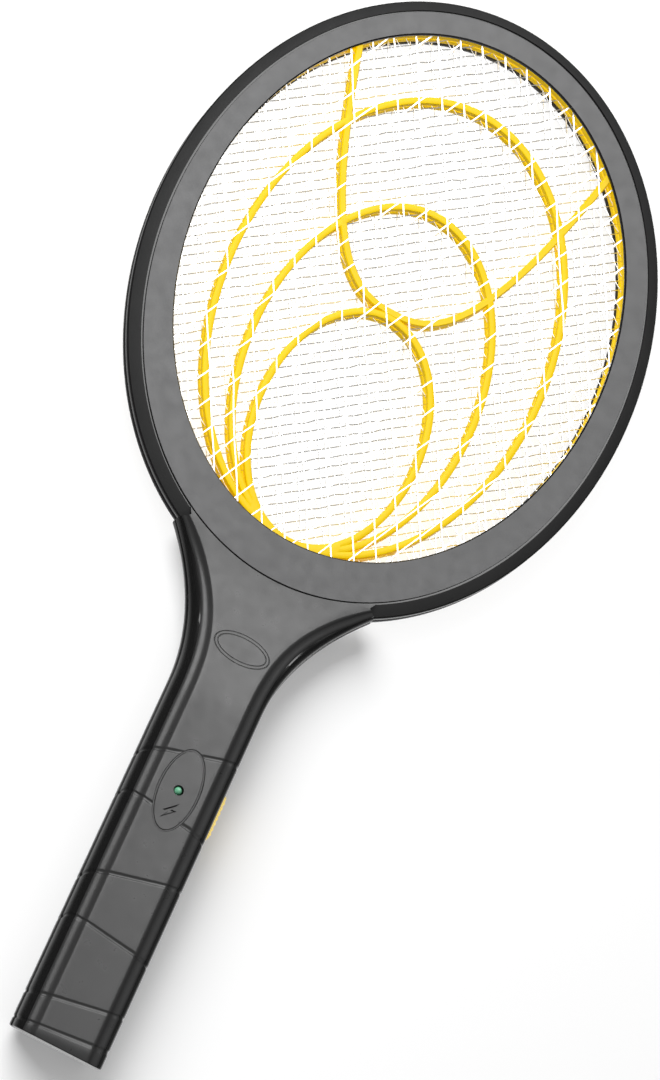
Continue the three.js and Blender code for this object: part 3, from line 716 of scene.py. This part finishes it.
def drape(cutter):
    """Lifts a cutter made about z = 0 so that it follows the front panel."""
    for vertex in cutter.data.vertices:
        vertex.co.z += panel_top(vertex.co.y / MM) * MM
    return cutter


SHELL_MATERIALS = (PANEL_GREY, SIDE_BLACK)
SATIN, GLOSS = range(2)
CUTTER_TOP = 1.5                     # how far the engraving cutters reach above the panel
CUTTER_SPREAD = 0.8                  # how much an oval cutter widens for each millimetre of height


def oval_groove(axes, y, floor, depth):
    """Cutter for an engraved oval line with a narrow floor and sloping walls."""
    axes = np.array(axes)
    below, above = floor / 2, floor / 2 + CUTTER_SPREAD * (depth + CUTTER_TOP)
    corners = [(axes - below, y, -depth, SATIN), (axes + below, y, -depth, SATIN),
               (axes + above, y, CUTTER_TOP, SATIN), (axes - above, y, CUTTER_TOP, SATIN)]
    return drape(ring("oval", corners, steps=128))


def bolt_mark():
    """Cutter for a plain lightning bolt, the usual sign for high voltage."""
    outline = np.array([(2.6, 4.2), (-2.7, -0.8), (-0.5, -0.6), (-2.6, -4.2), (2.7, 0.8), (0.5, 0.6)])
    levels = ((-0.6, 0.6), (CUTTER_TOP, 1.9))
    loops = [np.column_stack([outline * size + (0, LED_Y - 8.6), np.full(len(outline), z)])
             for z, size in levels]
    return drape(make_piece("bolt", *loft(np.stack(loops))))


def shell(name, side):
    """Outer skin, hollow and the openings that both shells share."""
    loops = outer_loops(side)
    points, faces = loft(loops)
    per_row = loops.shape[1]
    side_columns = len(FRONT_SIDE)       # faces below the shoulder strip, on either side
    column = np.arange(len(faces) - 2) % per_row
    gloss = (column < side_columns) | (column >= per_row - side_columns - 1)
    picks = np.where(gloss, GLOSS, SATIN)
    piece = make_piece(name, points, faces, SHELL_MATERIALS, np.append(picks, [GLOSS, GLOSS]))
    tools = [cavity(side), head_envelope(), tip_trim(1), tip_trim(-1), wire_notch(), button_slot()]
    return combine(piece, tools)


def skin_height(x, y):
    """Height of the handle's skin over the parting plane at a point."""
    across, height = half_section(y, 1)
    return float(np.interp(abs(x), across[0][::-1], height[0][::-1]))


SCREW_NODES = [node for node in frame["nodes"] if node.startswith("casing_screw")]
FRONT_BOSS, REAR_BOSS = 3.4, 3.8     # radius of the screw bosses
SCREW_BORE = 1.7
HEAD_BORE = 3.0                      # radius of the recess round a screw's head
LED_BORE = 2.0


def post(x, y, radius, low, high, steps=40):
    """An upright cylinder."""
    return lathe("post", [(0, low), (radius, low), (radius, high), (0, high)], (x, y, 0), steps=steps)


def front_shell():
    """Shell with the screw bosses, the indicator's hole and the engraved marks."""
    piece = shell("front_handle_shell_skin", 1)
    top = panel_top(LED_Y)
    bosses = []
    holes = [post(0, LED_Y, LED_BORE, top - 6, top + 3)]
    for node in SCREW_NODES:
        low, high = box_mm(node)
        x, y = (low + high)[:2] / 2
        under = MID_Z + min(skin_height(abs(x) + FRONT_BOSS, y), skin_height(x, y)) - 1
        bosses.append(post(x, y, FRONT_BOSS, MID_Z + GAP, under))
        holes.append(post(x, y, SCREW_BORE, MID_Z - 1, high[2] + GAP))
    combine(piece, bosses, "UNION")
    marks = [oval_groove(LED_LINE, LED_Y, 0.4, 0.34), bolt_mark()]
    marks += [oval_groove(axes, YOKE_OVAL_Y, 0.1, 0.2) for axes in YOKE_LINES]
    combine(piece, holes + marks)
    finish_piece(piece, "racket", "front_handle_shell")


def rear_solid(name):
    """The rear shell before the battery cover is parted from it."""
    piece = shell(name, -1)
    bosses, holes = [], []
    for node in SCREW_NODES:
        low, high = box_mm(node)
        x, y = (low + high)[:2] / 2
        skin = MID_Z - skin_height(x, y)
        edge = MID_Z - skin_height(abs(x) + REAR_BOSS, y)
        bosses.append(post(x, y, REAR_BOSS, edge + 1, MID_Z - GAP))
        holes.append(post(x, y, SCREW_BORE, skin - 1, MID_Z + 1))
        holes.append(post(x, y, HEAD_BORE, skin - 1, low[2] + 1.8))
    half_bay = 16.2
    bay_end = cover_high[1] - 3.4
    bosses.append(block((-half_bay, bay_end, cover_high[2] + GAP), (half_bay, cover_high[1], MID_Z - 1)))
    combine(piece, bosses, "UNION")
    return combine(piece, holes)


def cover_zone(gap):
    """The part of the rear shell that comes off as the cover, drawn in by the gap."""
    return block((cover_low[0] - GAP + gap, BUTT_Y - 9, -2),
                 (cover_high[0] + GAP - gap, cover_high[1] + GAP - gap, cover_high[2] + GAP - gap))


def rear_shell():
    """The rear shell without its cover."""
    piece = combine(rear_solid("rear_handle_shell_skin"), [cover_zone(0)])
    finish_piece(piece, "racket", "rear_handle_shell")


def battery_cover():
    """The cover, with a row of thumb grooves and an arrow that shows which way it slides."""
    piece = combine(rear_solid("battery_cover_skin"), [cover_zone(GAP)], "INTERSECT")
    start = cover_high[1] - 9
    count, pitch, width, half_length = 6, 2.4, 1.1, 7
    cuts = [block((-half_length, y, -1), (half_length, y + width, 0.8), bevel=0.25)
            for y in start - pitch * np.arange(count)]
    tip = start - 21
    cuts.append(prism([(0, tip - 4.5), (4.5, tip), (-4.5, tip)], -1, 0.9))
    combine(piece, cuts)
    finish_piece(piece, "battery_cover", "battery_cover")


# ---- Small pieces ----
def screws():
    """Pan-head screws with a cross recess, put in from the back."""
    for node in SCREW_NODES:
        low, high = box_mm(node)
        x, y = (low + high)[:2] / 2
        z0, z1, radius = low[2], high[2], (high[0] - low[0]) / 2
        profile = [(0, z0 + 0.05), (radius * 0.5, z0), (radius * 0.85, z0 + 0.2), (radius, z0 + 0.7),
                   (radius, z0 + 1.1), (1.35, z0 + 1.7), (1.35, z1 - 2), (0.2, z1 - 0.1), (0, z1)]
        piece = lathe(node + "_detail", profile, (x, y, 0), materials=(STEEL,))
        arm, reach = 0.32, radius * 0.62
        slots = [block((x - across, y - along, z0 - 1), (x + across, y + along, z0 + 0.9))
                 for across, along in ((arm, reach), (reach, arm))]
        combine(piece, slots)
        finish_piece(piece, "racket", node)


def power_button():
    """A rounded yellow cap with grip ridges, on the flange that keeps it in its slot."""
    low, high = box_mm("power_button")
    y0, y1 = low[1] + BUTTON_FLANGE, high[1] - BUTTON_FLANGE
    top = high[0] - 1.2
    piece = block((low[0] + 1, y0, low[2]), (top, y1, high[2]), "power_button_cap", (BUTTON_YELLOW,),
                  bevel=0.9, segments=4)
    flange = block((low[0], low[1], low[2] + 1), (low[0] + 2.8, high[1], high[2] - 1), bevel=0.3)
    count, pitch, half_width, rise, margin = 7, 2.2, 0.45, 0.4, 1.3
    middle = (y0 + y1) / 2
    ridges = [block((top - 1, y - half_width, low[2] + margin),
                    (top + rise, y + half_width, high[2] - margin), bevel=0.28)
              for y in middle + pitch * (np.arange(count) - count // 2)]
    combine(piece, [flange, *ridges], "UNION")
    finish_piece(piece, "power_button", "power_button")


def indicator():
    """A 3 mm LED: flanged lens with a domed top, and two legs."""
    low, high = box_mm("indicator_led")
    radius = (high[0] - low[0]) / 2
    x, y = (low + high)[:2] / 2
    top = high[2]
    dome_radius = 1.5
    dome = [(dome_radius * math.cos(t), top - dome_radius + dome_radius * math.sin(t))
            for t in np.linspace(0, math.pi / 2, 9)[:-1]]
    profile = [(0, top - 6), (radius, top - 6), (radius, top - 5), (dome_radius, top - 4.8),
               *dome, (0, top)]
    piece = lathe("indicator_lens", profile, (x, y, 0), materials=(SLOT_MATERIALS["led_lens"],))
    half_leg = 0.25
    legs = [block((leg_x - half_leg, y - half_leg, low[2]), (leg_x + half_leg, y + half_leg, top - 5.5))
            for leg_x in (x - 1.2, x + 1.2)]
    combine(piece, legs, "UNION")
    finish_piece(piece, "racket", "indicator_led")


def cells():
    """AA cells: a coloured jacket that stops short of the bright ends, with a plus nub."""
    for node in ("battery_1", "battery_2"):
        low, high = box_mm(node)
        x, _, z = (low + high) / 2
        r = (high[0] - low[0]) / 2
        length = high[1] - low[1]
        profile = [(0, 0), (r - 1.4, 0), (r - 1.2, 0.25), (r - 0.7, 0.25), (r - 0.35, 0.4), (r, 0.8),
                   (r, length - 2.4), (r - 0.5, length - 1.8), (r - 1, length - 1.5),
                   (2.75, length - 1.5), (2.6, length - 0.2), (2.3, length), (0, length)]
        picks = [1, 1, 1, 0, 0, 0, 0, 0, 1, 1, 1, 1]
        flip = -1 if node == "battery_2" else 1
        start = low[1] if flip > 0 else high[1]
        turned = [(radius, start + flip * height) for radius, height in profile]
        materials = (SLOT_MATERIALS["cell_jacket"], NICKEL)
        piece = lathe(node + "_detail", turned, (x, 0, z), "Y", 64, materials, picks)
        finish_piece(piece, "racket", node)


def springs():
    """Conical contact springs, wider at the contact plate."""
    for node in ("minus_spring", "bridge_spring"):
        low, high = box_mm(node)
        x, _, z = (low + high) / 2
        wire = 0.4
        turns, steps, sides = 3.5, 84, 10
        share = np.linspace(0, 1, steps)
        angle = share * turns * 2 * math.pi
        radius = 4.4 - 1.4 * share
        along = low[1] + wire + (high[1] - low[1] - 2 * wire) * share
        centre = np.stack([x + radius * np.cos(angle), along, z + radius * np.sin(angle)], axis=1)
        ahead = np.gradient(centre, axis=0)
        ahead /= np.linalg.norm(ahead, axis=1)[:, None]
        out = np.stack([np.cos(angle), np.zeros(steps), np.sin(angle)], axis=1)
        up = np.cross(ahead, out)
        turn = np.linspace(0, 2 * math.pi, sides, endpoint=False)[None, :, None]
        rim = np.cos(turn) * out[:, None] + np.sin(turn) * up[:, None]
        loops = centre[:, None] + wire * rim
        piece = make_piece(node + "_detail", *loft(loops), (NICKEL,))
        finish_piece(piece, "racket", node)


def paint_nodes():
    """Gives every CAD node that still shows the material of its slot."""
    for row in frame["record"]["subparts"]:
        node = frame["nodes"][row["node"]]
        if node.hide_render:
            continue
        material = SLOT_MATERIALS[row["material_slot"]]
        if not node.material_slots:
            node.data.materials.append(material)
        for place in node.material_slots:
            place.material = material


def head():
    """The ring halves, the ribs and the three grids, which cast no shadow on the white floor."""
    for name, side, node in (("front_ring", 1, "front_frame"), ("rear_ring", -1, "rear_frame")):
        finish_piece(frame_half(name, side), "racket", node).visible_shadow = False
    for name, node in (("front_ribs", "front_spacer"), ("rear_ribs", "rear_spacer")):
        finish_piece(spacer(name, node), "racket", node).visible_shadow = False
    outer, inner = (10, 20), (6.2, 4.7)
    grid("front_wire_grid", "front_grid", outer, strand=0.5, thickness=0.4, twist=(0, -0.06),
         wobble=0.16, seed=3)
    grid("rear_wire_grid", "rear_grid", outer, strand=0.4, thickness=0.45, twist=(0, 0),
         wobble=0.16, seed=7)
    grid("centre_wire_grid", "centre_grid", inner, strand=0.26, thickness=0.3, twist=(-0.1, -0.1),
         wobble=0.15, seed=5)


# ---- Camera, light and floor ----
# The camera's axes, the point that it looks at and its distance from that point, in metres
CAMERA_RIGHT, CAMERA_BACK = (0.8738, 0.3857, 0.2961), (-0.1499, -0.3656, 0.9186)
CAMERA_TARGET, CAMERA_DISTANCE = (0.01895, 0.01184, -0.0124), 2.6594
FOCAL_LENGTH, SENSOR_WIDTH = 232, 36     # millimetres
FLOOR_HALF, FLOOR_Z = 9000, -0.4         # half the floor's width and its level, in millimetres


def camera():
    """Looks down on the racket from the butt end's left, rolled so that the handle points down."""
    right = Vector(CAMERA_RIGHT).normalized()
    back = Vector(CAMERA_BACK)
    back = (back - right * back.dot(right)).normalized()
    up = back.cross(right)
    data = bpy.data.cameras.new("camera")
    data.lens = FOCAL_LENGTH
    data.sensor_width = SENSOR_WIDTH
    data.clip_end = 20
    item = bpy.data.objects.new("camera", data)
    bpy.context.scene.collection.objects.link(item)
    place = Matrix((right, up, back)).transposed().to_4x4()
    place.translation = Vector(CAMERA_TARGET) + back * CAMERA_DISTANCE
    item.matrix_world = place
    bpy.context.scene.camera = item


def area_light(name, place, size, power, mirrored):
    """A square light aimed at the middle of the racket. A mirrored one shows only in reflections,
    and any other one lights surfaces but isn't seen in them."""
    data = bpy.data.lights.new(name, "AREA")
    data.size = size
    data.energy = power
    item = bpy.data.objects.new(name, data)
    item.location = place
    item.visible_glossy = mirrored
    item.visible_diffuse = not mirrored
    item.rotation_mode = "QUATERNION"
    item.rotation_quaternion = Vector(place).to_track_quat("Z", "Y")
    bpy.context.scene.collection.objects.link(item)


def direction_shade(tree, value, shades):
    """A grey that follows one part of a direction, from (direction, grey) pairs."""
    spread = tree.nodes.new("ShaderNodeMapRange")
    spread.inputs["From Min"].default_value = -1
    tree.links.new(value, spread.inputs["Value"])
    ramp_node = tree.nodes.new("ShaderNodeValToRGB")
    stops = ramp_node.color_ramp.elements
    for _ in shades[2:]:
        stops.new(0.5)
    for stop, (height, shade) in zip(stops, shades):
        stop.position = (height + 1) / 2
        stop.color = (shade, shade, shade, 1)
    tree.links.new(spread.outputs["Result"], ramp_node.inputs["Fac"])
    return ramp_node.outputs["Color"]


def studio():
    """A white floor, a surround that darkens to the left and towards the horizon, a soft key light
    and a softbox that shows only in reflections."""
    paper, _, surface = new_material("floor", (0.7, 0.7, 0.7), 0.9)
    surface.inputs["Specular IOR Level"].default_value = 0
    surface.inputs["Emission Color"].default_value = (1, 1, 1, 1)
    surface.inputs["Emission Strength"].default_value = 0.25
    corners = [(x * FLOOR_HALF, y * FLOOR_HALF, FLOOR_Z) for x, y in ((-1, -1), (1, -1), (1, 1), (-1, 1))]
    floor = make_piece("floor", corners, [(0, 1, 2, 3)], (paper,))
    floor.visible_glossy = False
    world = bpy.data.worlds.new("studio")
    bpy.context.scene.world = world
    world.use_nodes = True
    tree = world.node_tree
    background = tree.nodes["Background"]
    background.inputs["Strength"].default_value = 1.0
    place = tree.nodes.new("ShaderNodeTexCoord")
    split = tree.nodes.new("ShaderNodeSeparateXYZ")
    tree.links.new(place.outputs["Generated"], split.inputs["Vector"])
    upright = direction_shade(tree, split.outputs["Z"],
                              ((-1, 0.9), (-0.85, 0.6), (-0.6, 0.15), (0.25, 0.06), (0.6, 0.45), (1, 0.55)))
    sideways = direction_shade(tree, split.outputs["X"], ((-1, 0.2), (-0.3, 0.5), (0.2, 1)))
    both = tree.nodes.new("ShaderNodeVectorMath")
    both.operation = "MULTIPLY"
    tree.links.new(upright, both.inputs[0])
    tree.links.new(sideways, both.inputs[1])
    tree.links.new(both.outputs["Vector"], background.inputs["Color"])
    area_light("key", (-1.0, 0.7, 1.4), 1.5, 50, mirrored=False)
    area_light("softbox", (-0.06, 1.08, 1.8), 1.35, 31, mirrored=True)
    bpy.context.scene.view_settings.view_transform = "Standard"


camera()
studio()
head()
front_shell()
rear_shell()
battery_cover()
screws()
power_button()
indicator()
cells()
springs()
paint_nodes()
